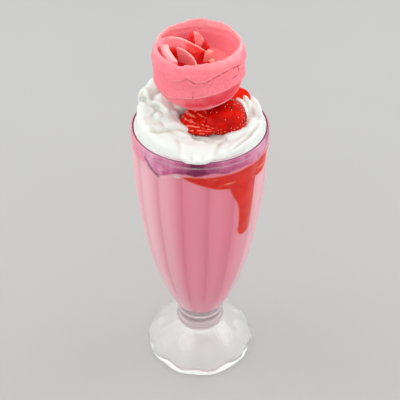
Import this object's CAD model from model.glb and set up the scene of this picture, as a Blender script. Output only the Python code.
import math

import bpy
import numpy as np
from mathutils import Matrix, Vector, noise


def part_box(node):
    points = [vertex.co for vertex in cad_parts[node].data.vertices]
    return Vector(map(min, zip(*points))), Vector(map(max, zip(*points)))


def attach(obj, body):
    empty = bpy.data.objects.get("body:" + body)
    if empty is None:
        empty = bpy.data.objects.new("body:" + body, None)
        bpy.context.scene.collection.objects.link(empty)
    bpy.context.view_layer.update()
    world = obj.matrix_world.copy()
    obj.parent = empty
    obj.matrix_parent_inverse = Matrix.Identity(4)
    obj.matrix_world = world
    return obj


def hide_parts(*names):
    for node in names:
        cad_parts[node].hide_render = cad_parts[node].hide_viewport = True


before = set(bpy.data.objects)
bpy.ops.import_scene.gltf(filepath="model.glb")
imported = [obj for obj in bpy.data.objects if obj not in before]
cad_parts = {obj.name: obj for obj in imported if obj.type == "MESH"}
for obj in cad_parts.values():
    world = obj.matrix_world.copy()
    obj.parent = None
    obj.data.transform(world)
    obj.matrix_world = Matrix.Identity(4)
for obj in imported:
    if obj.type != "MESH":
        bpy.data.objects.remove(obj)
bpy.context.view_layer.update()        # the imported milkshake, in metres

# A strawberry milkshake in a footed soda glass. Sizes below are in millimetres and angles in
# degrees from the front, positive towards +X, unless a note says otherwise.
mm = 0.001
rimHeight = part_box("glass")[1].z / mm
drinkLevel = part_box("milkshake")[1].z / mm


# Making

def report(stage):
    print("Milkshake:", stage)


def clearSelection():
    if bpy.context.mode != "OBJECT":
        bpy.ops.object.mode_set(mode="OBJECT")
    bpy.ops.object.select_all(action="DESELECT")


def selectOnly(*pieces):
    clearSelection()
    for piece in pieces:
        piece.select_set(True)
    bpy.context.view_layer.objects.active = pieces[0]


def placeInMesh(piece):
    selectOnly(piece)
    bpy.ops.object.transform_apply(location=True, rotation=True, scale=True)


def useModifier(piece, kind, **settings):
    selectOnly(piece)
    bpy.ops.object.modifier_add(type=kind)
    modifier = piece.modifiers[-1]
    for setting, value in settings.items():
        setattr(modifier, setting, value)
    bpy.ops.object.modifier_apply(modifier=modifier.name)


def remesh(piece, voxel, smoothing):
    useModifier(piece, "REMESH", mode="VOXEL", voxel_size=voxel * mm)
    useModifier(piece, "SMOOTH", factor=0.5, iterations=smoothing)


def joinPieces(name, pieces):
    selectOnly(*pieces)
    bpy.ops.object.join()
    pieces[0].name = name
    return pieces[0]


def pointsOf(piece):
    flat = np.empty(len(piece.data.vertices) * 3, np.float32)
    piece.data.vertices.foreach_get("co", flat)
    return flat.reshape(-1, 3).astype(float) / mm


def normalsOf(piece):
    flat = np.empty(len(piece.data.vertices) * 3, np.float32)
    piece.data.vertices.foreach_get("normal", flat)
    return flat.reshape(-1, 3).astype(float)


def setPoints(piece, points):
    piece.data.vertices.foreach_set("co", (points * mm).astype(np.float32).ravel())
    piece.data.update()


def paint(piece, name, values):
    count = len(piece.data.vertices)
    layer = piece.data.attributes.new(name, "FLOAT", "POINT")
    layer.data.foreach_set("value", np.broadcast_to(values, count).astype(np.float32))


def smoothStep(value, low, high):
    t = np.clip((value - low) / (high - low), 0, 1)
    return t * t * (3 - 2 * t)


def between(value, low, lowFull, highFull, high):
    # rises over the first stretch and falls over the second
    return smoothStep(value, low, lowFull) * (1 - smoothStep(value, highFull, high))


def bell(distance, width):
    return np.exp(-((distance / width) ** 2))


def lumps(points, size, seed=0.0):
    # soft random heights from -1 to 1, with lumps of about that size
    shift = Vector((seed * 7.3, seed * 3.1, seed * 5.7))
    return np.array([noise.noise(Vector(p) / size + shift) for p in points])


def frontAngle(x, y):
    return np.degrees(np.arctan2(x, -y))


def turnedFrom(angle, middle):
    return (angle - middle + 180) % 360 - 180


def atAngle(angle, radius, height):
    turn = np.radians(np.asarray(angle, float))
    return np.stack([radius * np.sin(turn), -radius * np.cos(turn), height + 0 * turn], -1)


def alongCurve(points, steps):
    # a smooth curve through the given points, with that many steps for each stretch
    rows = np.array([points[0], *points, points[-1]], float)
    out = []
    for before, here, there, after in zip(rows, rows[1:], rows[2:], rows[3:]):
        for t in np.arange(steps) / steps:
            bend = (2 * before - 5 * here + 4 * there - after) * t**2
            bend += (3 * here - before - 3 * there + after) * t**3
            out.append((2 * here + (there - before) * t + bend) / 2)
    return np.array(out + [rows[-1]])


def distanceToLine(points, line):
    # how far 2-D points are from an open line of points
    best = np.full(len(points), 1e9)
    for start, finish in zip(np.asarray(line, float), np.asarray(line, float)[1:]):
        along = finish - start
        share = np.clip((points - start) @ along / max(along @ along, 1e-9), 0, 1)
        best = np.minimum(best, np.linalg.norm(points - start - share[:, None] * along, axis=1))
    return best


def turnShape(name, profile, around, turn=0.0):
    # a disc whose edge is pulled out and resized ring by ring, and closed at the last ring
    clearSelection()
    radius, height = profile[0]
    place = {"location": (0, 0, height * mm), "rotation": (0, 0, math.radians(turn))}
    bpy.ops.mesh.primitive_circle_add(vertices=around, radius=radius * mm, fill_type="TRIFAN", **place)
    piece = bpy.context.object
    piece.name = name
    bpy.ops.object.mode_set(mode="EDIT")
    bpy.ops.mesh.select_mode(type="EDGE")
    bpy.ops.mesh.select_all(action="DESELECT")
    bpy.ops.mesh.select_non_manifold(
        use_wire=False, use_multi_face=False, use_non_contiguous=False, use_verts=False
    )
    for nextRadius, nextHeight in profile[1:]:
        lift = (0, 0, (nextHeight - height) * mm)
        bpy.ops.mesh.extrude_region_move(TRANSFORM_OT_translate={"value": lift})
        stretch = nextRadius / radius
        bpy.ops.transform.resize(value=(stretch, stretch, 1), center_override=(0, 0, nextHeight * mm))
        radius, height = nextRadius, nextHeight
    bpy.ops.mesh.merge(type="CENTER")
    bpy.ops.mesh.select_all(action="SELECT")
    bpy.ops.mesh.normals_make_consistent(inside=False)
    bpy.ops.object.mode_set(mode="OBJECT")
    placeInMesh(piece)
    return piece


def finishPiece(piece, slot, material, *nodes):
    piece.data.materials.clear()
    piece.data.materials.append(material)
    selectOnly(piece)
    bpy.ops.object.shade_smooth()
    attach(piece, "root")
    if nodes:
        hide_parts(*nodes)


# Finishes

def newFinish(name, **settings):
    material = bpy.data.materials.new(name)
    material.use_nodes = True
    shader = material.node_tree.nodes["Principled BSDF"]
    for socket, value in settings.items():
        shader.inputs[socket.replace("_", " ")].default_value = value
    return material


def addNode(material, kind, inputs=(), **settings):
    made = material.node_tree.nodes.new(kind)
    for setting, value in settings.items():
        setattr(made, setting, value)
    for socket, value in dict(inputs).items():
        if isinstance(value, bpy.types.NodeSocket):
            material.node_tree.links.new(value, made.inputs[socket])
        else:
            made.inputs[socket].default_value = value
    return made


def objectPlace(material, stretch=(1, 1, 1)):
    place = addNode(material, "ShaderNodeTexCoord").outputs["Object"]
    return addNode(material, "ShaderNodeMapping", {"Vector": place, "Scale": stretch}).outputs["Vector"]


def rangeOf(material, value, *limits):
    # spreads a value from its low and high to 0 and 1, or to the two limits after them
    if not limits:
        return value
    inputs = dict(zip(("From Min", "From Max", "To Min", "To Max"), limits))
    return addNode(material, "ShaderNodeMapRange", {"Value": value, **inputs}).outputs["Result"]


def mathOf(material, operation, first, second):
    return addNode(material, "ShaderNodeMath", {0: first, 1: second}, operation=operation).outputs[0]


def painted(material, name, *limits):
    value = addNode(material, "ShaderNodeAttribute", attribute_name=name).outputs["Fac"]
    return rangeOf(material, value, *limits)


def cloudy(material, size, *limits, detail=3.0, stretch=(1, 1, 1)):
    # a soft noise whose lumps have that size in millimetres
    inputs = {"Vector": objectPlace(material, stretch), "Scale": 1 / (size * mm), "Detail": detail}
    return rangeOf(material, addNode(material, "ShaderNodeTexNoise", inputs).outputs["Fac"], *limits)


def clouded(material, operation, name, size, *limits, **settings):
    # what is painted, made uneven by a soft noise
    clouds = cloudy(material, size, *limits, **settings)
    return mathOf(material, operation, painted(material, name), clouds)


def mixed(material, factor, first, second):
    # of two colours, each a socket or its red, green and blue
    pair = [c if isinstance(c, bpy.types.NodeSocket) else (*c, 1.0) for c in (first, second)]
    inputs = {0: factor, 6: pair[0], 7: pair[1]}
    return addNode(material, "ShaderNodeMix", inputs, data_type="RGBA").outputs[2]


def layered(material, shown, layers, **masks):
    # lays colours over each other. A mask is one of those given, or what is painted by that name
    for name, limits, colour in layers:
        mask = masks[name] if name in masks else painted(material, name)
        shown = mixed(material, rangeOf(material, mask, *limits), shown, colour)
    return shown


def toShader(material, socket, value):
    shader = material.node_tree.nodes["Principled BSDF"]
    material.node_tree.links.new(value, shader.inputs[socket])


def addBump(material, height, depth, strength=1.0):
    inputs = {"Height": height, "Distance": depth * mm, "Strength": strength}
    toShader(material, "Normal", addNode(material, "ShaderNodeBump", inputs).outputs["Normal"])


# The glass

glass = {
    "around": 288,
    "rimRadius": 40.9,
    "rimHalfWidth": 1.35,
    "underside": [(0.6, 4.0), (7, 3.8), (14, 3.1), (20, 1.9), (25, 0.6), (27, 0.0), (35.8, 0.0)],
    "foot": [(37.6, 1.1), (38, 2.5), (37.2, 4.1), (33.5, 6.9), (28, 11.5), (22, 17.5), (17.6, 22.8)],
    "collar": [
        (17.6, 22.8), (16.5, 24.4), (16.3, 25.9), (15.3, 27.2), (14.9, 30.5), (15.1, 33.5),
        (16.1, 34.8), (16.0, 36.2), (15.4, 37.5),
    ],
    "outside": [(15.4, 37.5), (23.9, 58), (32.4, 88), (37.6, 120), (40.3, 150), (40.9, 173)],
    "inside": [(11.5, 43.2), (20.9, 60), (29.6, 90), (35.0, 122), (37.6, 152), (38.2, 176)],
    "floor": [(11.5, 43.2), (9.6, 42.3), (7.0, 41.5), (3.5, 41.1), (0.5, 41.0)],
    "flutes": 16,
    "flutePhase": 7.0,
    "fluteDepth": 1.05,
    "ridgeRounding": 0.01,
    "fluteHeights": (36.5, 56.0),     # from none to its full depth
    "scallopHeight": 173.0,
    "scallopRise": 4.5,
    "scallopEdge": 2.0,
    "bandRecess": 0.5,
    "petals": 10,
    "petalPhase": -23.0,
    "petalNotch": 0.9,
    "petalDish": 1.3,
    "brightPetals": [(-26, 22.0, 7.5), (52, 21.6, 7.5)],      # angle, distance from the axis, size
    "secondLine": (12.0, 0.45),       # how uneven the line under the rim is, and how dark at most
    "clear": (0.995, 0.998, 1.0),
    "tints": [       # what is painted, its range and the colour
        ("mauve", (), (0.93, 0.78, 0.87)), ("foot", (), (0.94, 0.945, 0.945)),
        ("collar", (), (0.38, 0.27, 0.30)), ("lip", (), (0.17, 0.006, 0.075)),
    ],
    "footHaze": 0.12,                 # share of pale haze in the foot's pressed glass
    "haze": {"lip": 0.88, "petal": 0.27, "collar": 0.25},      # what each painted place adds
}
insideCurve = alongCurve(glass["inside"], 8)


def wallRadius(height):
    return np.interp(height, insideCurve[:, 1], insideCurve[:, 0])


def glassProfile():
    innerRim = glass["rimRadius"] - 2 * glass["rimHalfWidth"]
    turns = np.radians(np.linspace(0, 180, 13))
    middle = glass["rimRadius"] - glass["rimHalfWidth"]
    shoulder = rimHeight - 1.4
    rim = [(middle + glass["rimHalfWidth"] * np.cos(t), shoulder + 1.4 * np.sin(t)) for t in turns]
    band = [(glass["rimRadius"], z) for z in np.arange(173.5, shoulder, 0.6)]
    inner = [(innerRim, z) for z in (183.5, 181.0, 178.5)]
    rows = [glass["underside"], alongCurve(glass["foot"], 4)[:-1], alongCurve(glass["collar"], 4)[:-1]]
    rows += [alongCurve(glass["outside"], 11), band, rim, inner, insideCurve[::-1][:-1], glass["floor"]]
    return [tuple(p) for row in rows for p in row]


def fluteChange(angle, height):
    across = (angle - glass["flutePhase"]) / (360 / glass["flutes"]) % 1
    fromRidge = np.sqrt((1 - np.abs(2 * across - 1)) ** 2 + glass["ridgeRounding"])
    groove = np.clip(1 - fromRidge, 0, 1) ** 2
    top = glass["scallopHeight"] + glass["scallopRise"] * (1 - groove)
    inFlute = 1 - smoothStep(height, top, top + glass["scallopEdge"])
    deep = smoothStep(height, *glass["fluteHeights"])
    return -deep * glass["fluteDepth"] * groove * inFlute - glass["bandRecess"] * (1 - inFlute)


def glassFinish():
    material = newFinish("pressedGlass", Transmission_Weight=1.0, Roughness=0.02, IOR=1.4)
    toShader(material, "Base Color", layered(material, glass["clear"], glass["tints"]))
    haze = 0.0
    for name, share in glass["haze"].items():
        haze = mathOf(material, "ADD", haze, painted(material, name, 0, 1, 0, share))
    clearness = painted(material, "foot", 0, 1, 1, 1 - glass["footHaze"])
    toShader(material, "Transmission Weight", mathOf(material, "SUBTRACT", clearness, haze))
    addBump(material, cloudy(material, 14, detail=2.0), 0.12, 0.5)
    return material


def makeGlass():
    piece = turnShape("soda_glass", glassProfile(), glass["around"], glass["flutePhase"])
    x, y, z = pointsOf(piece).T
    radius, angle = np.hypot(x, y), frontAngle(x, y)
    onBowl = (z > glass["outside"][0][1]) & (radius > wallRadius(z) + 1.0)
    onFoot = (z > 0) & (z < 24) & (radius > 17)
    petal = 0.5 + 0.5 * np.cos(np.radians((angle - glass["petalPhase"]) * glass["petals"]))
    change = np.where(onBowl, fluteChange(angle, z), 0.0)
    notch = -glass["petalNotch"] * smoothStep(radius, 30, 37) * (1 - petal)
    change = np.where(onFoot, notch, change)
    dish = between(radius, 17, 25, 28, 35) * petal
    z = z - np.where(onFoot & (z > 5.0), glass["petalDish"] * dish, 0.0)
    grown = (radius + change) / np.maximum(radius, 0.01)
    setPoints(piece, np.stack([x * grown, y * grown, z], 1))
    paint(piece, "mauve", smoothStep(z, 174, 178))
    rimLine = smoothStep(z, 184.8, 185.6) * (1 - smoothStep(radius, 39.8, 40.3))
    secondLine = between(z, 183.2, 183.8, 184.2, 184.8) * smoothStep(radius, 40, 40.5)
    size, darkest = glass["secondLine"]
    broken = np.clip(0.5 + 0.7 * lumps(np.stack([x, y, 0 * z], 1), size, 17), 0, darkest)
    paint(piece, "lip", np.maximum(rimLine, secondLine * broken))
    paint(piece, "foot", 1 - smoothStep(z, 22, 27))
    bright = 0.3 * dish
    for middle, away, size in glass["brightPetals"]:
        spot = atAngle(middle, away, 0)
        bright = np.maximum(bright, bell(np.hypot(x - spot[0], y - spot[1]), size))
    paint(piece, "petal", np.where(onFoot & (z > 5.0), bright, 0.0))
    paint(piece, "collar", between(z, 22, 26, 37, 40))
    piece.visible_shadow = False     # lets the lamps reach what the glass holds
    finishPiece(piece, "glass", glassFinish(), "glass")


# What shows through the glass: pink drink, with a mauve zone above a wavy line

mauveZone = {
    "edge": [
        (-75, 187), (-62, 185.7), (-54.7, 179.9), (-48.2, 175.5), (-39.4, 171.5), (-29.7, 174.8),
        (-19.6, 178.1), (-11.3, 178.6), (-4, 177), (4.2, 178.5), (12.4, 179.3), (21, 177.6), (33, 178.4),
        (41, 178.4), (51, 175.6), (63, 176.7), (76, 181.4), (110, 180), (150, 178), (-150, 179),
        (-110, 182),
    ],
    "purple": [
        (-180, 0.3), (-85, 0.5), (-65, 0.2), (-45, 0.12), (-32, 0.3), (-22, 0.5), (-12, 0.8), (-5, 1.2),
        (2, 1.2), (9, 0.7), (16, 0.5), (30, 0.6), (45, 0.35), (60, 0.2), (80, 0.5),
    ],
    "paleLine": [
        (-180, 0.3), (-60, 0.2), (-45, 0.1), (-35, 0.7), (-22, 0.9), (-10, 0.6), (0, 0.1), (80, 0.1),
    ],
    "lowerShade": 0.45,               # how much darker the zone is along its lower edge
    "streak": [(-51, 180.5), (-46, 176.5), (-41, 174), (-36.5, 172.4)],
    "streakWidth": 1.5,
    "creamSpot": (-19.6, 176.2),
    "creamSpotSize": (3.0, 1.6),
    "degree": 0.66,                   # millimetres along the wall for each degree
    "mauve": (0.90, 0.56, 0.68),
    "mauveLayers": [                  # mask, its range and the colour
        ("depth", (0.0, 0.5), (0.70, 0.18, 0.37)), ("depth", (0.5, 1.25), (0.24, 0.006, 0.09)),
        ("vein", (), (0.26, 0.012, 0.10)),
    ],
    "pinkLayers": [("paleLine", (0, 1, 0, 0.75), (0.98, 0.70, 0.66))],
    "topLayers": [
        ("darkStreak", (0.3, 1.0, 0, 0.8), (0.20, 0.07, 0.09)),
        ("creamSpot", (0.35, 0.7), (0.84, 0.78, 0.72)),
    ],
}


def aroundWall(angle, table):
    table = sorted(table)
    return np.interp(angle, [a for a, _ in table], [v for _, v in table], period=360)


def paintWallColours(piece):
    # signed height over the zone's edge, and how purple the zone is
    x, y, z = pointsOf(piece).T
    angle, degree = frontAngle(x, y), mauveZone["degree"]
    over = z - aroundWall(angle, mauveZone["edge"])
    purple = aroundWall(angle, mauveZone["purple"])
    purple = purple + mauveZone["lowerShade"] * (1 - smoothStep(over, 0, 5)) * purple
    streak = [(a * degree, h) for a, h in mauveZone["streak"]]
    fromStreak = distanceToLine(np.stack([angle * degree, z], 1), streak)
    spotAngle, spotHeight = mauveZone["creamSpot"]
    wide, tall = mauveZone["creamSpotSize"]
    fromSpot = ((angle - spotAngle) * degree / wide) ** 2 + ((z - spotHeight) / tall) ** 2
    paint(piece, "overEdge", over)
    paint(piece, "paleLine", bell(over + 0.7, 0.75) * aroundWall(angle, mauveZone["paleLine"]))
    paint(piece, "purple", purple)
    paint(piece, "veined", 1 - smoothStep(over, 0.3, 1.6))
    paint(piece, "darkStreak", bell(fromStreak, mauveZone["streakWidth"]))
    paint(piece, "creamSpot", np.exp(-fromSpot))


def wallColour(material, pink):
    edge = clouded(material, "ADD", "overEdge", 4, 0, 1, -1, 1)
    rough = {"detail": 4.0, "stretch": (1, 1, 0.6)}
    depth = clouded(material, "ADD", "purple", 4.5, 0.35, 0.65, -0.2, 0.2, **rough)
    vein = mathOf(material, "ABSOLUTE", cloudy(material, 6, 0, 1, -0.5, 0.5), 0.0)
    vein = rangeOf(material, vein, 0.006, 0.028, 0.75, 0.0)
    vein = mathOf(material, "MULTIPLY", vein, painted(material, "veined"))
    mauve = layered(material, mauveZone["mauve"], mauveZone["mauveLayers"], depth=depth, vein=vein)
    pink = layered(material, pink, mauveZone["pinkLayers"])
    shown = mixed(material, rangeOf(material, edge, -0.4, 0.8), pink, mauve)
    return layered(material, shown, mauveZone["topLayers"])


# The drink

drink = {
    "around": 144,
    "intoWall": 0.12,
    "bottom": [(0.5, 40.9), (3.5, 41.0), (7.0, 41.38), (9.6, 42.15)],
    "colour": (0.98, 0.34, 0.45),
    "shade": (0.95, 0.28, 0.39),
    "layers": [("pale", (), (0.99, 0.61, 0.67)), ("groove", (0, 1, 0, 0.5), (0.80, 0.20, 0.31))],
    "pale": [        # how pale the pink is round the wall
        (-180, 0.4), (-150, 0.2), (-110, 0.7), (-75, 0.95), (-50, 1.0), (-30, 0.7), (-14, 0.12),
        (0, 0.2), (14, 0.15), (26, 0.0), (40, 0.3), (62, 1.0), (100, 0.8), (140, 0.2),
    ],
}


def drinkFinish():
    material = newFinish("pinkMilkshake", Roughness=0.5, Specular_IOR_Level=0.0)
    pink = mixed(material, cloudy(material, 30, detail=2.0), drink["shade"], drink["colour"])
    toShader(material, "Base Color", wallColour(material, layered(material, pink, drink["layers"])))
    addBump(material, cloudy(material, 2.5), 0.05, 0.4)
    return material


def makeDrink():
    side = [(r + drink["intoWall"], z) for r, z in alongCurve(glass["inside"], 16)]
    level = drinkLevel + 0.1         # just into the cream
    top = [(side[-1][0], level), (30.0, level), (15.0, level), (0.5, level)]
    piece = turnShape("pink_drink", drink["bottom"] + side + top, drink["around"], glass["flutePhase"])
    x, y, z = pointsOf(piece).T
    angle = frontAngle(x, y)
    # each flute is shaded towards its ridges, and the ridge itself counts to the flute on its left
    across = (angle - glass["flutePhase"] - 0.05) / (360 / glass["flutes"]) % 1
    nearRidge = np.where(across > 0.5, across, 0.6 * (1 - across)) ** 2.5
    paint(piece, "groove", nearRidge * smoothStep(z, 44, 70))
    paint(piece, "pale", aroundWall(angle, drink["pale"]))
    paintWallColours(piece)
    finishPiece(piece, "milkshake", drinkFinish(), "milkshake")


# The sauce that runs down inside the wall

sauce = {
    "thickness": 1.8,
    "start": -14.0,
    "finish": 84.0,
    "full": (30.0, 60.0),
    "endDepth": 1.7,
    "moreDepth": 9.6,
    "risePower": 0.6,
    "dripAngle": 39.6,
    "dripEnd": 124.5,
    "dripNeck": 152.0,
    "dripTopHalfWidth": 9.5,
    "dripHalfWidth": 6.9,
    "dripLean": {-1: 6.0, 1: 2.0},
    "dripDrift": 1.1,
    "intoWall": 0.26,
    "voxel": 0.34,
    "reds": ((0.78, 0.010, 0.005), (0.89, 0.042, 0.026)),
    "streakColour": (0.98, 0.42, 0.22),
    "edgeColour": (0.97, 0.36, 0.30),
}
wallStretch = math.radians(37.0)      # millimetres along the sauce for each degree


def bandEdge(angle):
    rise = smoothStep(angle, sauce["start"] - 1, sauce["full"][0]) ** sauce["risePower"]
    fall = 1 - smoothStep(angle, sauce["full"][1], sauce["finish"] + 1)
    return drinkLevel - sauce["endDepth"] - sauce["moreDepth"] * rise * fall


def dripSide(side, height):
    join = bandEdge(sauce["dripAngle"])
    down = (join - height) / (join - sauce["dripEnd"])
    spread = smoothStep(height, sauce["dripNeck"], join)
    half = sauce["dripHalfWidth"] + (sauce["dripTopHalfWidth"] - sauce["dripHalfWidth"]) * spread
    swell = 0.5 * np.sin(down * math.tau * 1.1) * (1 - spread)
    drift = sauce["dripLean"][side] * smoothStep(down, 0, 0.45) + sauce["dripDrift"] * down
    return sauce["dripAngle"] + drift + side * (half + swell) / wallStretch


def sauceOutline():
    join = bandEdge(sauce["dripAngle"])
    endTop = sauce["dripEnd"] + sauce["dripHalfWidth"]
    heights = np.linspace(join, endTop, 40)
    right = np.stack([dripSide(1, heights), heights], 1)
    left = np.stack([dripSide(-1, heights), heights], 1)
    turns = np.radians(np.linspace(0, 180, 17)[1:-1])
    middle, half = (right[-1, 0] + left[-1, 0]) / 2, (right[-1, 0] - left[-1, 0]) / 2
    endHeights = endTop - sauce["dripHalfWidth"] * np.sin(turns)
    end = np.stack([middle + half * np.cos(turns), endHeights], 1)
    rightBand = np.linspace(sauce["finish"], right[0, 0], 40)[:-1]
    leftBand = np.linspace(left[0, 0], sauce["start"], 50)[1:]
    top = np.linspace(sauce["start"], sauce["finish"], 60)
    topHeight = drinkLevel + 0.2 - 0 * top
    rows = [np.stack([top, topHeight], 1), np.stack([rightBand, bandEdge(rightBand)], 1), right, end]
    rows += [left[::-1], np.stack([leftBand, bandEdge(leftBand)], 1)]
    return np.concatenate(rows)


def sauceFinish():
    material = newFinish("wetStrawberrySauce", Roughness=0.4, Specular_IOR_Level=0.0)
    red = mixed(material, cloudy(material, 6, 0.3, 0.7), *sauce["reds"])
    streak = clouded(material, "MULTIPLY", "streaky", 4, 0.6, 0.72, detail=2.0, stretch=(0.3, 0.3, 1.6))
    red = mixed(material, streak, red, sauce["streakColour"])
    deep = clouded(material, "ADD", "fromEdge", 3, 0, 1, -0.5, 0.5)
    shown = mixed(material, rangeOf(material, deep, 0.0, 1.1), sauce["edgeColour"], red)
    toShader(material, "Base Color", shown)
    return material


def makeSauce():
    outline = sauceOutline() * (wallStretch, 1)
    clearSelection()
    bpy.ops.mesh.primitive_circle_add(vertices=len(outline), radius=mm, fill_type="NGON")
    piece = bpy.context.object
    piece.name = "sauce_in_glass"
    setPoints(piece, np.stack([outline[:, 0], 0 * outline[:, 0], outline[:, 1]], 1))
    bpy.ops.object.mode_set(mode="EDIT")
    bpy.ops.mesh.select_all(action="SELECT")
    bpy.ops.mesh.extrude_region_move(TRANSFORM_OT_translate={"value": (0, sauce["thickness"] * mm, 0)})
    bpy.ops.mesh.select_all(action="SELECT")
    bpy.ops.mesh.quads_convert_to_tris()
    bpy.ops.mesh.normals_make_consistent(inside=False)
    bpy.ops.object.mode_set(mode="OBJECT")
    remesh(piece, sauce["voxel"], 2)
    x, y, z = pointsOf(piece).T
    closed = np.concatenate([outline, outline[:1]])
    paint(piece, "fromEdge", distanceToLine(np.stack([x, z], 1), closed))
    paint(piece, "streaky", smoothStep(z, 167, 172))
    setPoints(piece, atAngle(x / wallStretch, wallRadius(z) + sauce["intoWall"] - y, z))
    finishPiece(piece, "sauce", sauceFinish(), "strawberry_sauce")


# The ball of ice cream, from its centre

scoop = {
    "centre": (-0.8, 0.0, 225.4),
    "around": 160,
    "outside": [
        (0.5, -25), (8.2, -23.8), (15, -20.2), (20.3, -14.8), (23.8, -8), (25.2, 0), (25.2, 5.5),
        (24.5, 9.8),
    ],
    "lip": [
        (24.5, 9.8), (23.8, 12.2), (23.1, 13.6), (22.6, 13.9), (22.2, 13.3), (21.9, 11.0), (21.3, 8),
    ],
    "inside": [(21.3, 8), (20.2, 2.5), (17.4, -4), (11.5, -8.6), (0.5, -10.4)],
    "lipHeight": 13.9,
    "lipDips": [(-27, 9, 1.5), (118, 12, 0.8), (-150, 14, 0.7)],      # angle, spread, depth
    "lipTilt": (0.04, 0.08),
    "lipWave": 0.6,
    "voxel": 0.42,
    "upperEdge": [
        (-180, 5), (-135, 6.5), (-95, 5), (-70, 6), (-51, 4.7), (-43, 3.6), (-34, 2.2), (-26.6, 2.2),
        (-20, 3.6), (-14, 5.9), (-10, 4.8), (-5.3, 3.0), (0.6, 3.1), (7.8, 3.5), (17.9, 5.4),
        (30.5, 7.2), (43, 7.8), (55, 7.3), (85, 5.0), (130, 6.5),
    ],
    "lowerEdge": [
        (-180, -5), (-130, -7.5), (-80, -8.5), (-41, -9.3), (-21, -7.5), (-5.6, -6.5), (8, -5.1),
        (20.5, -4.3), (30, -3.8), (39, -3.2), (60, -3.0), (90, -5), (135, -3.6),
    ],
    "marks": [       # short scraped lines
        [(-51, 4.7), (-46.9, 4.1), (-43.3, 3.8)],
        [(55.1, 7.3), (58.6, 3.9), (54.4, 1.8), (44.7, 1.3)],
        [(-6.6, -2.4), (-6.8, -6.5)],
        [(128, 1.5), (142, 2.6), (158, 2.2)],
        [(-160, -1.5), (-148, -0.6), (-139, -1.2)],
    ],
    "lowestEdge": [
        (-180, -14), (-120, -12), (-60, -14.5), (-20, -15.0), (10, -16), (40, -14.5), (90, -12),
        (140, -13.5),
    ],
    # scraped layers: the edge, its lumps (depth, size, seed), the step there (rise, where it rises
    # and fades) and the groove below it (depth, drop, width, the angles over which it starts)
    "scraped": [
        ("upperEdge", (0.35, 2.2, 1), (0.80, -0.4, 0.4, 0.5, 8), (0.65, 0.6, 0.55, -14, -4)),
        ("lowerEdge", (0.30, 3.0, 2), (1.15, -0.5, 0.3, 0.5, 6), (0.45, 0.7, 0.6, -181, -180)),
        ("lowestEdge", (0.50, 4.0, 3), (0.70, -0.6, 0.5, 0.6, 7), (0.0, 1.0, 1.0, -181, -180)),
    ],
    "degree": 0.44,                   # millimetres round the ball for each degree
    "saucePath": [(-14.2, 3.5), (-12.6, -3.5), (-9.6, -9.0), (-8.2, -14)],
    "pinks": ((0.86, 0.155, 0.205), (0.93, 0.225, 0.275)),
    "layers": [      # mask, its range and the colour
        ("fine", (0.35, 0.75, 0.0, 0.35), (0.96, 0.33, 0.36)),
        ("inner", (0, 1, 0, 0.95), (1.0, 0.31, 0.36)), ("lipPale", (), (0.98, 0.50, 0.49)),
        ("sauced", (0.2, 0.62), (0.95, 0.065, 0.045)), ("sauced", (0.7, 1.0), (0.76, 0.010, 0.012)),
        ("dusky", (0.2, 0.7, 0, 0.85), (0.76, 0.235, 0.245)),
        ("foldTop", (0.2, 0.9, 0, 0.85), (0.99, 0.50, 0.46)),
        ("juicy", (), (0.78, 0.030, 0.052)),
        ("ridge", (0.1, 0.9, 0, 0.85), (0.99, 0.47, 0.47)),
        ("crease", (0.15, 0.8, 0, 0.85), (0.42, 0.04, 0.07)),
    ],
}
# folds of ice cream in the hollow: thickness low down and at the top edge, how far the foot of the
# first end moves along, and places from the ball's centre with the top edge's height and its lean
folds = {
    "outer": (3.4, 0.9, 0.0, [
        (-22.0, 1.0, 11.6, 0.3), (-19.4, 5.6, 11.9, 1.4), (-14.8, 6.8, 12.1, 2.2),
        (-10.8, 5.6, 12.0, 2.4), (-7.0, 3.2, 11.6, 2.4), (-3.2, 1.8, 10.4, 2.4),
        (0.6, 1.6, 8.9, 2.2), (3.8, 2.4, 6.9, 1.5), (6.4, 3.8, 4.6, 0.8),
    ]),
    "inner": (6.2, 4.6, 0.0, [
        (-18.6, 3.0, 10.6, 0.0), (-17.9, -3.2, 11.0, 0.2), (-15.9, -9.2, 10.6, 0.3),
        (-13.0, -14.6, 9.6, 0.2),
    ]),
    "petal": (2.8, 0.8, 0.4, [
        (-12.6, -0.4, 10.6, 1.0), (-9.6, -2.0, 9.7, 2.0), (-6.4, -4.6, 8.7, 2.0), (-3.2, -8.0, 7.2, 1.4),
        (-1.2, -11.6, 5.2, 0.4),
    ]),
}
foldDetail = (49, 21)                 # points along and up a fold
scoopCentre = np.array(scoop["centre"])


def hollowFloor(radius):
    inside = np.array(scoop["inside"][::-1])
    return np.interp(radius, inside[:, 0], inside[:, 1])


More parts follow.
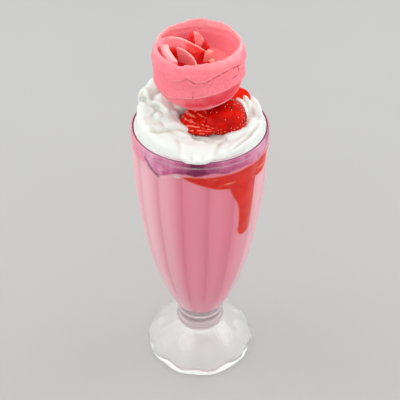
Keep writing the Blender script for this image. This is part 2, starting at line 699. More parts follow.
def foldSheet(name):
    thickness, topThickness, slant, path = folds[name]
    along, up = foldDetail
    clearSelection()
    bpy.ops.mesh.primitive_grid_add(x_subdivisions=along - 1, y_subdivisions=up - 1, size=mm)
    piece = bpy.context.object
    curve = alongCurve(path, 10)
    share = np.linspace(0, len(curve) - 1, along)
    rows = np.stack([np.interp(share, np.arange(len(curve)), curve[:, k]) for k in range(4)], 1)
    ahead = np.gradient(rows[:, :2], axis=0)
    ahead /= np.linalg.norm(ahead, axis=1)[:, None]
    grid = pointsOf(piece)
    height = grid[:, 1] + 0.5
    place = (grid[:, 0] + 0.5) + slant * (1 - height) * (0.5 - grid[:, 0])
    steps = np.arange(along) / (along - 1)
    row = np.stack([np.interp(place, steps, rows[:, k]) for k in range(4)], 1)
    side = np.stack([np.interp(place, steps, -ahead[:, 1]), np.interp(place, steps, ahead[:, 0])], 1)
    low = hollowFloor(np.hypot(row[:, 0], row[:, 1])) - 2.2
    flat = row[:, :2] + side * (row[:, 3] * height**2)[:, None]
    setPoints(piece, np.column_stack([flat, low + (row[:, 2] - low) * height]) + scoopCentre)
    group = piece.vertex_groups.new(name="thick")
    for index, share in enumerate(height):
        group.add([index], float(1 - smoothStep(share, 0.3, 1.0)), "REPLACE")
    settings = {"vertex_group": "thick", "thickness_vertex_group": topThickness / thickness}
    useModifier(piece, "SOLIDIFY", thickness=thickness * mm, offset=0.0, **settings)
    return piece


def foldMasks(x, y, z):
    # how near each point is to the top edges of the folds, and in plan to the petal fold
    plan = np.stack([x, y], 1)
    tops, fromFold = np.zeros(len(plan)), {}
    for name in folds:
        edge = alongCurve(folds[name][3], 8)
        fromFold[name] = distanceToLine(plan, edge[:, :2])
        nearest = np.argmin(np.linalg.norm(plan[:, None] - edge[None, ::2, :2], axis=2), axis=1)
        depth = edge[::2, 2][nearest] - z
        tops = np.maximum(tops, bell(depth, 0.8) * (fromFold[name] < 3.4))
    return tops, fromFold["petal"]


def scoopDetail(piece):
    # scraped layers round the outside, a ragged lip, and the paint that follows both
    points = pointsOf(piece)
    x, y, z = (points - scoopCentre).T
    radius, angle = np.hypot(x, y), frontAngle(x, y)
    fromCentre = np.sqrt(x * x + y * y + z * z)
    outer = smoothStep(fromCentre, 22.8, 24.0) * (1 - smoothStep(z, 11.5, 13.5))
    over, relief = [], np.zeros(len(points))
    for edge, (uneven, size, seed), (rise, *step), (deep, drop, width, *start) in scoop["scraped"]:
        above = z - aroundWall(angle, scoop[edge]) - uneven * lumps(points, size, seed)
        relief += rise * between(above, *step)
        relief -= deep * bell(above + drop, width) * smoothStep(angle, *start)
        over.append(above)
    upper, lower, _ = over
    unrolled = np.stack([angle * scoop["degree"], z], 1)
    marks = np.zeros(len(points))
    for line in scoop["marks"]:
        apart = distanceToLine(unrolled, [(a * scoop["degree"], h) for a, h in line])
        marks = np.maximum(marks, bell(apart, 0.4))
    relief -= 0.45 * marks
    relief += 0.22 * lumps(points * (0.35, 0.35, 1.0), 2.6, 4) + 0.10 * lumps(points, 1.2, 5)
    stretch = 1 + outer * relief / np.maximum(fromCentre, 1)
    onRim = smoothStep(radius, 18.5, 20.5)
    nearLip = smoothStep(z, 8.5, 12.5) * onRim
    ragged = 0.40 * lumps(points, 1.3, 6) + 0.45 * lumps(points, 3.6, 7)
    for middle, spread, depth in scoop["lipDips"]:
        ragged = ragged - depth * bell(turnedFrom(angle, middle), spread)
    moved = np.stack([x * stretch, y * stretch, z * stretch + nearLip * ragged], 1)
    setPoints(piece, moved + scoopCentre)

    # pale lip, and the folds in the hollow
    lipPale = 0.6 * nearLip * (1 - between(angle, 60, 75, 110, 140))
    paint(piece, "lipPale", np.maximum(lipPale, smoothStep(z, 11.6, 12.8) * onRim))
    inside = (1 - smoothStep(radius - 0.12 * np.maximum(z, 0), 19.6, 20.6)) * smoothStep(z, -11, -9)
    folded = inside * (1 - smoothStep(radius, 17.6, 19.4))
    tops, fromPetal = foldMasks(x, y, z)
    reddest = 0.7 * np.exp(-(((x + 2.0) / 8.5) ** 2 + ((y - 2.0) / 5) ** 2)) * smoothStep(x, -15, -5)
    channel = bell(distanceToLine(np.stack([x, y], 1), scoop["saucePath"]), 1.5)
    low = 1 - smoothStep(z, 4.5, 9.0)
    paint(piece, "inner", inside)
    paint(piece, "foldTop", tops * folded)
    paint(piece, "sauced", folded * np.clip(np.maximum(np.maximum(low, channel), reddest), 0, 1))
    paint(piece, "dusky", folded * bell(fromPetal, 2.2) * smoothStep(z, 1.0, 4.0))

    # red juice low at the front, and the creases and ridges of the scraped layers
    juicy = (1 - smoothStep(lower, -2.5, -0.2)) * outer * smoothStep(z, -18, -12)
    around = angle + 14 * lumps(points, 6.0, 15)
    paint(piece, "juicy", juicy * between(around, -28, -6, 48, 92))
    creased = bell(upper + 0.5, 0.35) * between(angle, -16, -8, 60, 80)
    broken = np.clip(0.75 + 1.1 * lumps(points, 1.6, 16), 0.15, 1)
    paint(piece, "crease", outer * np.maximum(creased, marks) * broken)
    ridge = np.maximum(0.6 * bell(upper - 0.5, 0.5), bell(lower - 0.5, 0.55))
    melt = bell(z + 14.2 - 0.06 * (angle - 30), 0.8) * between(angle, -8, 6, 52, 66)
    paint(piece, "ridge", outer * np.maximum(ridge * (0.6 + 0.4 * lumps(points, 4.0, 10)), melt))


def iceCreamFinish():
    soft = {"Subsurface_Weight": 0.15, "Subsurface_Scale": 0.002, "Subsurface_Radius": (1.0, 0.35, 0.3)}
    material = newFinish("strawberryIceCream", Roughness=0.5, Specular_IOR_Level=0.2, **soft)
    masks = {
        "fine": cloudy(material, 1.6, detail=4.0),
        "lipPale": clouded(material, "MULTIPLY", "lipPale", 2.5, 0.2, 0.8, 0.2, 0.9),
        "sauced": clouded(material, "ADD", "sauced", 5, 0.3, 0.7, -0.2, 0.2),
        "juicy": clouded(material, "MULTIPLY", "juicy", 7, 0.25, 0.6, 0.3, 1.0),
    }
    base = mixed(material, cloudy(material, 9), *scoop["pinks"])
    toShader(material, "Base Color", layered(material, base, scoop["layers"], **masks))
    toShader(material, "Roughness", rangeOf(material, masks["sauced"], 0.35, 0.8, 0.5, 0.16))
    addBump(material, cloudy(material, 3.0, detail=5.0, stretch=(0.35, 0.35, 2.0)), 0.35, 0.6)
    return material


def makeScoop():
    profile = [tuple(p) for p in alongCurve(scoop["outside"], 5)[:-1]]
    profile += [tuple(p) for p in alongCurve(scoop["lip"], 4)[:-1]]
    profile += [tuple(p) for p in alongCurve(scoop["inside"], 6)]
    shell = turnShape("ice_cream_ball", profile, scoop["around"])
    x, y, z = pointsOf(shell).T
    wave = scoop["lipWave"] * np.sin(2 * np.arctan2(x, -y) + 0.8)
    tiltX, tiltY = scoop["lipTilt"]
    z = z + smoothStep(z, 0, scoop["lipHeight"]) * (tiltX * x + tiltY * y + wave)
    setPoints(shell, np.stack([x, y, z], 1) + scoopCentre)
    piece = joinPieces("ice_cream_ball", [shell] + [foldSheet(name) for name in folds])
    remesh(piece, scoop["voxel"], 4)
    scoopDetail(piece)
    finishPiece(piece, "ice_cream", iceCreamFinish(), "ice_cream_scoop")


# The whipped cream: piped folds on a low base

cream = {
    "baseHeight": 188.0,
    "middleHeight": 191.0,
    "wallReach": 0.18,
    "voxel": 0.6,
    "laps": [(-3, 14, 3.0), (-122, 22, 2.0)],      # angle, spread and reach of cream on the rim
    "reach": [(-180, 37.4), (-95, 36.4), (-55, 36.7), (-30, 37.7), (30, 37.7), (55, 36.7), (95, 36.2)],
    "waviness": 0.09,                 # share by which the folds swell and thin
    "streaks": (2.6, 0.34),           # width and depth of the fine streaks along the folds
    "billows": (7.0, 0.6),            # their size and height
    "ballRadius": 24.6,               # of the hollow that the ball presses in the cream
    "whites": ((0.76, 0.80, 0.76), (0.79, 0.83, 0.795)),
    "layers": [      # what is painted, its range and the colour
        ("cool", (), (0.81, 0.94, 0.92)), ("shade", (), (0.66, 0.72, 0.67)),
        ("deep", (0.1, 1, 0, 0.8), (0.70, 0.70, 0.61)),
    ],
    "creases": [     # angle and distance from the axis along each, then depth and half width
        ([(-50, 33), (-45.7, 30.8), (-33.8, 22.9), (-15, 21.2), (6.4, 24.5)], 1.6, 1.5),
        ([(21.4, 28.5), (17, 32), (13.5, 35.5)], 0.9, 1.5),
        ([(-24, 30), (-20, 33), (-18, 35.5)], 0.7, 1.5),
        ([(-108, 36), (-96, 31), (-80, 25), (-66, 23)], 1.8, 1.5),
        ([(-142, 33), (-128, 28), (-112, 25)], 1.5, 1.4),
        ([(30, 36), (52, 33.5), (78, 34)], 0.8, 1.0),
        ([(64, 27), (92, 28.5), (120, 27)], 1.2, 1.4),
        ([(140, 36), (165, 31), (188, 32)], 1.3, 1.5),
        ([(-176, 24), (-150, 25.5), (-128, 24)], 1.2, 1.4),
    ],
}
# crest lines: angle, distance from the axis, crest height and half width along each fold
creamFolds = [
    [(-172, 28, 200, 9.5), (-136, 29, 199.8, 9), (-100, 30, 199.5, 8.5)],
    [(-100, 30, 199.5, 8.5), (-60, 30, 197.5, 8.4), (-20, 30, 194.2, 8.2), (18, 30, 192, 8)],
    [(8, 31, 191.5, 7), (60, 31, 192, 7.2), (118, 30.5, 193.5, 7.5)],
    [(100, 28, 194.5, 9), (145, 27.5, 196.5, 9.5), (190, 27, 199.5, 10)],
    [(-178, 20, 205, 9), (-120, 20.2, 203.2, 8.5), (-62, 20.5, 201.5, 8)],
    [(-72, 20, 200.5, 7.5), (-43, 21, 197.5, 7.5), (-14, 22, 194.5, 7.5)],
    [(-134, 31.5, 205.5, 6.4), (-119, 32.5, 203.2, 6.2), (-104, 33.5, 201, 6)],
    [(150, 17, 202, 10), (187, 17, 203.2, 10), (225, 17, 204.5, 10)],
    [(50, 14, 195.5, 10), (105, 14, 197.2, 10), (160, 14, 199, 10)],
    [(-130, 10, 203, 9), (-100, 10.5, 202, 8.5), (-75, 11, 201, 8)],
    [(-92, 33, 200.4, 4.6), (-84, 31, 201.0, 4.8), (-74, 27, 200.6, 4.6)],
    [(-150, 33, 203.2, 4.6), (-140, 32, 204.4, 5.0), (-130, 30, 205.0, 4.6)],
    [(-16, 25, 194.8, 5.4), (-12, 31, 192.6, 5.2), (-11, 37.0, 190.8, 3.2), (-11, 41.2, 190.1, 2.6)],
    [(-2, 26, 194.2, 5.6), (-2, 31, 192.6, 5.4), (-2, 37.0, 191.0, 3.4), (-2.5, 41.8, 190.1, 2.7)],
    [(8, 28, 193.2, 4.6), (6, 32, 192.0, 4.6), (5.5, 37.0, 190.6, 3.0), (5, 41.0, 190.0, 2.5)],
    [(34, 26, 193.2, 3.2), (58, 27.5, 193.4, 3.4), (84, 28, 194.0, 3.2)],
    [(28, 35, 191.4, 2.6), (50, 35.4, 191.9, 2.8), (72, 35.4, 192.2, 2.6)],
    [(86, 34, 194.0, 4.2), (104, 33.4, 195.6, 4.6), (122, 32.4, 195.4, 4.4)],
    [(86, 26.5, 193.6, 3.6), (102, 26.5, 197.0, 4.0), (118, 27.5, 197.6, 4.4), (134, 28, 197.0, 4.4)],
]


def pipedFold(crest):
    # a round rope under the crest line, swelling and thinning a little
    line = alongCurve(crest, 12)
    clearSelection()
    bpy.ops.curve.primitive_nurbs_path_add()
    rope = bpy.context.object
    rope.data.bevel_depth = mm
    rope.data.bevel_resolution = 6
    rope.data.use_fill_caps = True
    spline = rope.data.splines[0]
    spline.points.add(len(line) - len(spline.points))
    centres = atAngle(line[:, 0], line[:, 1], line[:, 2] - line[:, 3])
    swell = 1 + cream["waviness"] * lumps(centres, 6.0, 11)
    for point, place, width in zip(spline.points, centres * mm, line[:, 3] * swell):
        point.co = (*place, 1.0)
        point.radius = width
    spline.order_u = 3
    spline.use_endpoint_u = True
    bpy.ops.object.convert(target="MESH")
    return bpy.context.object


def creamReach(angle):
    reach = aroundWall(angle, cream["reach"])
    for middle, spread, length in cream["laps"]:
        near = bell(turnedFrom(angle, middle), spread)
        reach = reach + length * smoothStep(near, 0.3, 0.85)
    return reach


def creamFinish():
    soft = {"Subsurface_Weight": 0.45, "Subsurface_Scale": 0.004, "Subsurface_Radius": (0.8, 1.0, 0.9)}
    material = newFinish("whippedCream", Roughness=0.42, Specular_IOR_Level=0.25, **soft)
    white = mixed(material, cloudy(material, 12), *cream["whites"])
    white = layered(material, white, cream["layers"])
    shown = mixed(material, painted(material, "atWall"), white, wallColour(material, drink["colour"]))
    toShader(material, "Base Color", shown)
    addBump(material, cloudy(material, 3.5, detail=4.0), 0.2, 0.5)
    return material


def creamRelief(points):
    # long fine streaks that follow the folds, soft billows, and creases between folds
    x, y, z = points.T
    radius, angle = np.hypot(x, y), np.arctan2(x, -y)
    lengthwise = np.stack([4.2 * np.cos(angle), 4.2 * np.sin(angle), 0 * z], 1)
    across = (radius * 0.75 + z * 0.65)[:, None] * (0, 0, 1)
    width, depth = cream["streaks"]
    size, rise = cream["billows"]
    relief = depth * lumps(lengthwise * 0.55 + across / width, 1.0, 12)
    relief += 0.4 * depth * lumps(lengthwise + across / (0.45 * width), 1.0, 13)
    relief += rise * lumps(points, size, 14)
    plan = np.stack([x, y], 1)
    crease = np.zeros(len(points))
    for line, depth, half in cream["creases"]:
        route = alongCurve([atAngle(a, r, 0)[:2] for a, r in line], 6)
        apart = distanceToLine(plan, route) / half
        shown = bell(apart, 1.0)
        relief += 0.45 * depth * bell(apart - 2.0, 1.0) - depth * shown
        crease = np.maximum(crease, shown)
    return relief * smoothStep(z, 187.2, 189.5), crease * smoothStep(z, 188, 190)


def makeCream():
    level, middle = drinkLevel - 0.2, cream["middleHeight"]
    base = [(0.5, level), (20, level), (wallRadius(level) + 0.1, level), (38.3, 181.0), (38.3, 185.0)]
    base += [(37.0, 187.0), (33.0, cream["baseHeight"]), (26.0, middle), (0.5, middle)]
    disc = turnShape("piped_cream", base, 96)
    piece = joinPieces("piped_cream", [disc] + [pipedFold(crest) for crest in creamFolds])
    remesh(piece, cream["voxel"], 5)
    points = pointsOf(piece)
    relief, crease = creamRelief(points)
    points = points + normalsOf(piece) * relief[:, None]
    x, y, z = points.T
    radius, angle = np.hypot(x, y), frontAngle(x, y)

    # the outer folds are pressed in towards the rim, and roll down to it
    reach = creamReach(angle)
    soft = reach - 2.2
    pressed = soft + (reach - soft) * np.tanh((radius - soft) / (reach - soft))
    newRadius = np.where((z > 186.5) & (radius > soft), pressed, radius)
    atWall = (z < 186.5) & (radius > 36.5)
    newRadius = np.where(atWall, wallRadius(z) + cream["wallReach"], newRadius)
    overRim = (newRadius > 37.9) & (z > 186.0)
    newHeight = np.where(overRim, np.maximum(z, rimHeight + 0.05), z)
    scale = newRadius / np.maximum(radius, 0.01)
    points = np.stack([x * scale, y * scale, newHeight], 1)

    # under the ball it is pressed down to the ball's own shape
    away = points - scoopCentre
    distance = np.linalg.norm(away, axis=1)
    closer = np.maximum(distance, cream["ballRadius"]) / np.maximum(distance, 0.01)
    points = np.where((away[:, 2] < 0)[:, None], scoopCentre + away * closer[:, None], points)
    setPoints(piece, points)

    fromBall = distance - cream["ballRadius"]
    nearBall = bell(fromBall, 3.0) * between(angle, -95, -60, -30, -10)
    inGlass = (1 - smoothStep(points[:, 2], 186.6, 187.2)) * smoothStep(newRadius, 36.7, 37.3)
    paint(piece, "atWall", inGlass)
    paint(piece, "deep", np.maximum(0.7 * crease, nearBall))
    paint(piece, "cool", bell(fromBall, 11.0) * (0.7 + 0.3 * smoothStep(x, -5, 20)))
    paint(piece, "shade", smoothStep(z, 194, 202) * smoothStep(-x, 5, 25))
    paintWallColours(piece)
    finishPiece(piece, "cream", creamFinish(), "whipped_cream")


# Sauce and cut fruit in the ball's hollow

pool = {
    "level": 1.7,
    "radius": 20.5,
    "around": 96,
    "reds": ((0.50, 0.006, 0.016), (0.72, 0.014, 0.024)),
    "layers": [("melted", (0.3, 0.7), (1.0, 0.26, 0.29))],
}
# place of each block of fruit, its size and turn, and how its top narrows and moves aside
chunks = {
    "back": ((-0.6, 9.4, 7.6), (15.4, 6.0, 13.6), 6.0, (0.22, 0.5), -1.7),
    "side": ((5.8, 1.6, 3.6), (6.6, 5.4, 7.8), -30.0, (0.62, 0.75), 0.0),
    "front": ((7.0, -8.2, 3.6), (6.6, 5.0, 7.0), 35.0, (0.55, 0.7), 0.0),
}
chunkColours = {
    "flesh": ((0.88, 0.20, 0.17), (0.96, 0.38, 0.33)),
    "red": ((0.62, 0.008, 0.01), (0.90, 0.02, 0.02)),
    "creamy": (0.98, 0.23, 0.235),
}


def poolFinish():
    material = newFinish("sauceInBall", Roughness=0.1, Specular_IOR_Level=0.35)
    red = mixed(material, cloudy(material, 5), *pool["reds"])
    melted = clouded(material, "ADD", "melted", 4, 0.3, 0.7, -0.2, 0.2)
    toShader(material, "Base Color", layered(material, red, pool["layers"], melted=melted))
    addBump(material, cloudy(material, 4), 0.5, 0.6)
    return material


def makePool():
    inside = alongCurve(scoop["inside"], 6)[::-1]
    low = [(max(0.5, r + 0.25), z - 0.25) for r, z in inside if z < pool["level"] - 0.8]
    top = [(pool["radius"], pool["level"] - 0.5), (11.5, pool["level"]), (0.5, pool["level"] - 0.3)]
    piece = turnShape("sauce_in_ball", low + top, pool["around"])
    setPoints(piece, pointsOf(piece) + scoopCentre)
    useModifier(piece, "SUBSURF", levels=1, render_levels=1)
    points = pointsOf(piece)
    x, y, _ = (points - scoopCentre).T
    rise = 1.3 * smoothStep(np.hypot(x, y), 15.5, 21.0) + 0.35 * lumps(points, 4.0, 8)
    points[:, 2] += np.where(points[:, 2] > scoopCentre[2] + pool["level"] - 1, rise, 0)
    setPoints(piece, points)
    paint(piece, "melted", smoothStep(x + 0.25 * y, 5.5, 10.5))
    finishPiece(piece, "sauce", poolFinish(), "scoop_sauce")


def cutFruitFinish():
    material = newFinish("cutStrawberry", Roughness=0.25, Specular_IOR_Level=0.25)
    flesh = mixed(material, cloudy(material, 2.2, detail=4.0), *chunkColours["flesh"])
    flesh = mixed(material, painted(material, "creamy"), flesh, chunkColours["creamy"])
    red = mixed(material, cloudy(material, 3), *chunkColours["red"])
    skin = clouded(material, "ADD", "skin", 3, 0.3, 0.7, -0.2, 0.2)
    toShader(material, "Base Color", mixed(material, rangeOf(material, skin, 0.35, 0.6), flesh, red))
    addBump(material, cloudy(material, 1.2, detail=4.0), 0.3, 0.6)
    return material


def makeChunks(material):
    noise.seed_set(9)                # the same blocks in each run
    for name, (centre, size, turn, narrowing, aside) in chunks.items():
        clearSelection()
        bpy.ops.mesh.primitive_cube_add(size=mm, scale=size)
        piece = bpy.context.object
        piece.name = "fruit_block_" + name
        placeInMesh(piece)
        points = pointsOf(piece)
        points += [np.array(noise.noise_vector(Vector(p) * 0.37 + Vector(centre))) * 1.3 for p in points]
        setPoints(piece, points)
        useModifier(piece, "BEVEL", width=0.7 * mm, segments=3)
        remesh(piece, 0.3, 2)
        points = pointsOf(piece)
        upwards = np.clip(points[:, 2:] / size[2] + 0.5, 0, 1) ** 1.5
        points[:, :2] = points[:, :2] * (1 - upwards * (1 - np.array(narrowing))) + upwards * (aside, 0)
        setPoints(piece, points)
        normals = normalsOf(piece)
        waves = 0.25 * lumps(points, 1.6, len(name)) + 0.12 * lumps(points, 0.7, 9)
        points += normals * waves[:, None]
        spin = Matrix.Rotation(math.radians(turn), 3, "Z")
        skin = smoothStep(normals @ np.array((-0.75, -0.1, 0.15)), 0.2, 0.6)
        if name == "back":
            skin = smoothStep(-points[:, 0] - 0.12 * points[:, 2], 0.9, 1.7)
            skin = np.maximum(skin, smoothStep(points[:, 0] - 0.6 * points[:, 2], 1.4, 2.6))
        paint(piece, "skin", skin)
        paint(piece, "creamy", 0.9 if name == "back" else 0.0)
        setPoints(piece, points @ np.array(spin).T + scoopCentre + centre)
        finishPiece(piece, "strawberry", material, "berry_chunk_" + name)


# The strawberries on the cream: centre, axis to the crown, side that is cut, size, place of the cut

berryOutline = [
    (0.3, -15), (4.2, -13.6), (8.2, -9), (11.2, -2), (12, 4), (10.4, 9.5), (6.5, 12.6), (0.3, 13.2),
]
berries = {
    "front": ((14.3, -9.8, 196.4), (0.75, 0.45, 0.12), (-0.35, 0.55, -0.75), 0.86, 1.5),
    "slice": ((-0.4, -13.0, 197.0), (-0.82, 0.56, 0.08), (-0.13, -0.39, 0.91), 0.80, 1.0),
    "back": ((18.5, 11.6, 196.2), (-1.0, -0.15, 0.0), (0.1, -0.55, 0.83), 0.76, 1.2),
}
streaked = {"front": 0.3, "slice": 1.0, "back": 0.0}      # how pale the streaks on each cut side are
fruitFromBall = 25.3                  # how near to the ball's centre the fruit comes
berryColours = {
    "skin": ((0.26, 0.001, 0.0005), (0.64, 0.006, 0.002)),
    "flesh": ((0.46, 0.004, 0.002), (0.74, 0.018, 0.006)),
    "streak": (0.88, 0.26, 0.18),
    "layers": [("bright", (), (0.84, 0.016, 0.003)), ("pit", (), (0.20, 0.001, 0.001))],
    "seed": ((0.70, 0.10, 0.05), (0.95, 0.50, 0.36)),
}
seeds = {
    "rows": 19,
    "spacing": 2.2,
    "length": 0.5,
    "width": 0.31,
    "height": 0.26,
    "pitRadius": 1.0,
    "pitDepth": 0.4,
    "sunk": 0.6,                      # share of the pit's depth that a seed sits down
    "missing": (0.35, 0.75),          # share of empty places at the edge and in the middle
}
frontView = np.array((0.0, -0.72, 0.69))      # towards the side that the photo shows


def berryFrame(name):
    centre, axis, cut, size, keep = berries[name]
    along = Vector(axis).normalized()
    facing = Vector(cut)
    facing = (facing - along * facing.dot(along)).normalized()
    turning = np.array((facing.cross(along), facing, along)).T
    return np.array(centre), turning, size, keep * size


def seedPlaces(size, keep, seed):
    # staggered rows round the fruit, as places on its skin and the directions out of it
    outline = alongCurve(berryOutline, 10) * size
    lengths = np.concatenate([[0], np.cumsum(np.linalg.norm(np.diff(outline, axis=0), axis=1))])
    draw = np.random.default_rng(seed)
    places, outwards = [], []
    for row in range(1, seeds["rows"]):
        along = lengths[-1] * (row + draw.uniform(-0.15, 0.15)) / seeds["rows"]
        radius, height = (np.interp(along, lengths, outline[:, k]) for k in (0, 1))
        ahead = [np.interp(along + 0.4, lengths, outline[:, k]) for k in (0, 1)]
        slope = np.array([ahead[1] - height, -(ahead[0] - radius)])
        slope /= np.linalg.norm(slope)
        count = max(3, int(math.tau * radius / seeds["spacing"]))
        for k in range(count):
            turn = math.tau * (k + 0.5 * (row % 2) + draw.uniform(-0.28, 0.28)) / count
            place = np.array([radius * math.cos(turn), radius * math.sin(turn), height])
            if place[1] < keep - 0.6:
                places.append(place)
                outwards.append([slope[0] * math.cos(turn), slope[0] * math.sin(turn), slope[1]])
    return np.array(places), np.array(outwards)


def makeSeed(material):
    # a drop with its point upwards
    clearSelection()
    bpy.ops.mesh.primitive_ico_sphere_add(subdivisions=1, radius=mm)
    piece = bpy.context.object
    x, y, z = pointsOf(piece).T
    width = seeds["width"] * (1 - 0.3 * z)
    setPoints(piece, np.stack([x * width, y * seeds["height"], z * seeds["length"]], 1))
    piece.data.materials.append(material)
    return piece


def copySeed(seed, place, outward):
    selectOnly(seed)
    bpy.ops.object.duplicate(linked=False)
    piece = bpy.context.object
    facing = Vector(outward).normalized()
    up = (Vector((0, 0, 1)) - facing * facing.z).normalized()
    turning = np.array((facing.cross(up), facing, up)).T
    setPoints(piece, pointsOf(piece) @ turning.T + place)
    return piece


def berryFinish():
    material = newFinish("strawberrySkinAndFlesh", Roughness=0.18, Specular_IOR_Level=0.08)
    skin = mixed(material, cloudy(material, 7, 0.3, 0.68), *berryColours["skin"])
    fruit = addNode(material, "ShaderNodeAttribute", attribute_name="fruit").outputs["Vector"]
    grain = {"Vector": fruit, "Scale": 7.0, "Detail": 5.0}
    grain = addNode(material, "ShaderNodeTexNoise", grain).outputs["Fac"]
    flesh = mixed(material, rangeOf(material, grain, 0.35, 0.65), *berryColours["flesh"])
    streak = rangeOf(material, grain, 0.35, 0.6)
    streak = mathOf(material, "MULTIPLY", painted(material, "streak"), streak)
    flesh = mixed(material, rangeOf(material, streak, 0.12, 0.5), flesh, berryColours["streak"])
    shown = mixed(material, painted(material, "cut"), skin, flesh)
    toShader(material, "Base Color", layered(material, shown, berryColours["layers"]))
    addBump(material, cloudy(material, 1.4), 0.3, 0.5)
    return material


def cutBerry(name, size, keep):
    outline = [tuple(p) for p in alongCurve(berryOutline, 6) * size]
    piece = turnShape("strawberry_piece_" + name, outline, 96)
    bpy.ops.object.mode_set(mode="EDIT")
    bpy.ops.mesh.select_all(action="SELECT")
    bpy.ops.mesh.bisect(plane_co=(0, keep * mm, 0), plane_no=(0, 1, 0), use_fill=True, clear_outer=True)
    bpy.ops.object.mode_set(mode="OBJECT")
    remesh(piece, 0.34, 1)
    return piece


def chosenSeeds(number, size, keep, turning):
    # more of them are missing in the middle of the side in front
    places, outwards = seedPlaces(size, keep, number + 3)
    middle = smoothStep(outwards @ turning.T @ frontView, 0.5, 0.85)
    missing = np.interp(middle, (0, 1), seeds["missing"])
    chosen = np.random.default_rng(number + 20).uniform(size=len(places)) > missing
    return places[chosen], outwards[chosen]


def berryDetail(piece, number, name, places):
    # paints the berry, and gives its points with pits in the skin and an uneven cut side
    _, turning, size, keep = berryFrame(name)
    points, normals = pointsOf(piece), normalsOf(piece)
    x, y, z = points.T
    onCut = smoothStep(y, keep - 0.7, keep - 0.15)
    pit = np.zeros(len(points))
    for place in places:
        apart = np.linalg.norm(points - place, axis=1) / seeds["pitRadius"]
        pit = np.maximum(pit, np.clip(1 - apart**2, 0, 1) ** 2)
    swell = 0.25 * lumps(points, 5.0, number) - seeds["pitDepth"] * pit * (1 - onCut)
    core = 0.5 * np.exp(-((x**2 + (z * 0.6) ** 2) / 14))
    swell += onCut * (0.30 * lumps(points, 2.6, number + 5) - core)
    fan = np.arctan2(z + 17, x) * 40 + 2.0 * lumps(points, 3.0, number + 8)
    fromCore = np.hypot(x / 12, z / 15) / size
    streak = (0.5 + 0.5 * np.sin(fan)) ** 3 * (0.7 + 0.5 * lumps(points, 4.0, number + 9))
    streak = streak * between(fromCore, 0.1, 0.35, 0.85, 0.97) * streaked[name]
    facing = normals @ turning.T @ frontView + 0.04 * z + 0.25 * lumps(points, 3.0, number + 2)
    bright = 0.75 * smoothStep(facing, 0.85, 1.25) * (1 - onCut)
    paint(piece, "bright", 1.0 if name == "back" else bright)
    paint(piece, "cut", onCut)
    paint(piece, "pit", pit * (1 - onCut) * 0.6)
    paint(piece, "streak", streak * onCut)
    layer = piece.data.attributes.new("fruit", "FLOAT_VECTOR", "POINT")
    layer.data.foreach_set("vector", (points / 10).astype(np.float32).ravel())
    return points + normals * swell[:, None]


def makeBerries():
    material = berryFinish()
    seedMaterial = newFinish("strawberrySeed", Roughness=0.3)
    tone = mixed(seedMaterial, cloudy(seedMaterial, 2.5), *berryColours["seed"])
    toShader(seedMaterial, "Base Color", tone)
    oneSeed = makeSeed(seedMaterial)
    allSeeds = []
    for number, name in enumerate(berries):
        centre, turning, size, keep = berryFrame(name)
        piece = cutBerry(name, size, keep)
        places, outwards = chosenSeeds(number, size, keep, turning)
        points = berryDetail(piece, number, name, places) @ turning.T + centre
        # the ball presses on the fruit under it
        away = points - scoopCentre
        distance = np.linalg.norm(away, axis=1)
        pushed = scoopCentre + away * (fruitFromBall / np.maximum(distance, 0.01))[:, None]
        setPoints(piece, np.where((distance < fruitFromBall)[:, None], pushed, points))
        finishPiece(piece, "strawberry", material, "strawberry_" + name)
        for place, outward in zip(places, outwards):
            lowered = place + outward * 0.02 - outward * seeds["pitDepth"] * seeds["sunk"]
            spot = turning @ lowered + centre
            if np.linalg.norm(spot - scoopCentre) > fruitFromBall + 0.5:
                allSeeds.append(copySeed(oneSeed, spot, turning @ outward))
    selectOnly(oneSeed)
    bpy.ops.object.delete()
    piece = joinPieces("strawberry_seeds", allSeeds)
    selectOnly(piece)
    bpy.ops.object.shade_smooth()
    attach(piece, "root")


# Studio

studio = {
    "floorSize": 3.0,
    "floorLevel": -0.0003,            # just under the glass, so that light gets in below the foot
    "floorColour": (0.46, 0.46, 0.455),
    "worldColour": (1.0, 1.0, 0.99),
    "worldDepth": (0.95, 1.15),       # strength in front and behind
    "worldSides": 0.5,                # what left and right add
    "worldHeight": (1.15, 0.85),      # share of it low down and overhead
    "lamps": {       # place and size in metres, power in watts
        "left": ((-0.75, 0.15, 0.75), 0.7, 1.2),
        "right": ((0.75, 0.2, 0.7), 0.7, 1.0),
    },
    "aim": (0.0, 0.0, 0.16),
    "cameraPlace": (0, -0.365, 0.430),
    "cameraTilt": 50.5,
    "lens": 67.68,
}


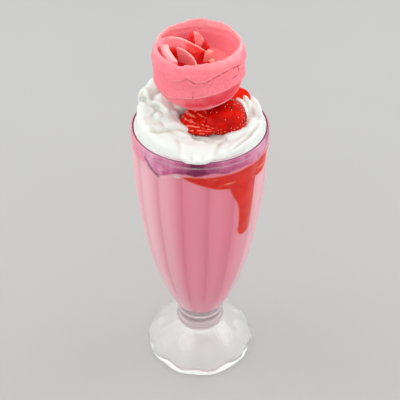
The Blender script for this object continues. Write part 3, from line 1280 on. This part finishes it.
def addFloor():
    clearSelection()
    bpy.ops.mesh.primitive_plane_add(size=studio["floorSize"], location=(0, 0, studio["floorLevel"]))
    floor = bpy.context.object
    floor.name = "studio_floor"
    placeInMesh(floor)
    material = newFinish("paleFloor", Roughness=0.7)
    darker = [c * 0.95 for c in studio["floorColour"]]
    shown = mixed(material, cloudy(material, 120), darker, studio["floorColour"])
    toShader(material, "Base Color", shown)
    floor.data.materials.append(material)


def addLamps():
    world = bpy.data.worlds.new("softStudio")
    bpy.context.scene.world = world
    world.use_nodes = True
    background = world.node_tree.nodes["Background"]
    background.inputs["Color"].default_value = (*studio["worldColour"], 1.0)
    direction = addNode(world, "ShaderNodeTexCoord").outputs["Generated"]
    axes = addNode(world, "ShaderNodeSeparateXYZ", {"Vector": direction}).outputs
    depth = rangeOf(world, axes["Y"], -1.0, 0.3, *studio["worldDepth"])
    aside = mathOf(world, "ABSOLUTE", axes["X"], 0.0)
    depth = mathOf(world, "ADD", depth, rangeOf(world, aside, 0.2, 0.9, 0.0, studio["worldSides"]))
    height = rangeOf(world, axes["Z"], 0.1, 0.9, *studio["worldHeight"])
    strength = mathOf(world, "MULTIPLY", depth, height)
    world.node_tree.links.new(strength, background.inputs["Strength"])
    for name, (place, size, power) in studio["lamps"].items():
        clearSelection()
        bpy.ops.object.light_add(type="AREA", location=place)
        lamp = bpy.context.object
        lamp.name = "lamp_" + name
        lamp.data.shape = "DISK"
        lamp.data.size = size
        lamp.data.energy = power
        towards = Vector(studio["aim"]) - Vector(place)
        lamp.rotation_euler = towards.to_track_quat("-Z", "Y").to_euler()


def addCamera():
    clearSelection()
    tilt = (math.radians(studio["cameraTilt"]), 0, 0)
    bpy.ops.object.camera_add(location=studio["cameraPlace"], rotation=tilt)
    camera = bpy.context.object
    camera.data.sensor_width = 36.0
    camera.data.lens = studio["lens"]
    camera.data.clip_start = 0.01
    bpy.context.scene.camera = camera
    bpy.context.scene.view_settings.view_transform = "Standard"


addFloor()
addLamps()
addCamera()
report("studio ready")
makeGlass()
report("glass turned and fluted")
makeDrink()
makeSauce()
report("drink and sauce poured")
makeScoop()
report("ice cream rolled")
makeCream()
report("cream piped")
makePool()
makeChunks(cutFruitFinish())
makeBerries()
report("fruit laid on")
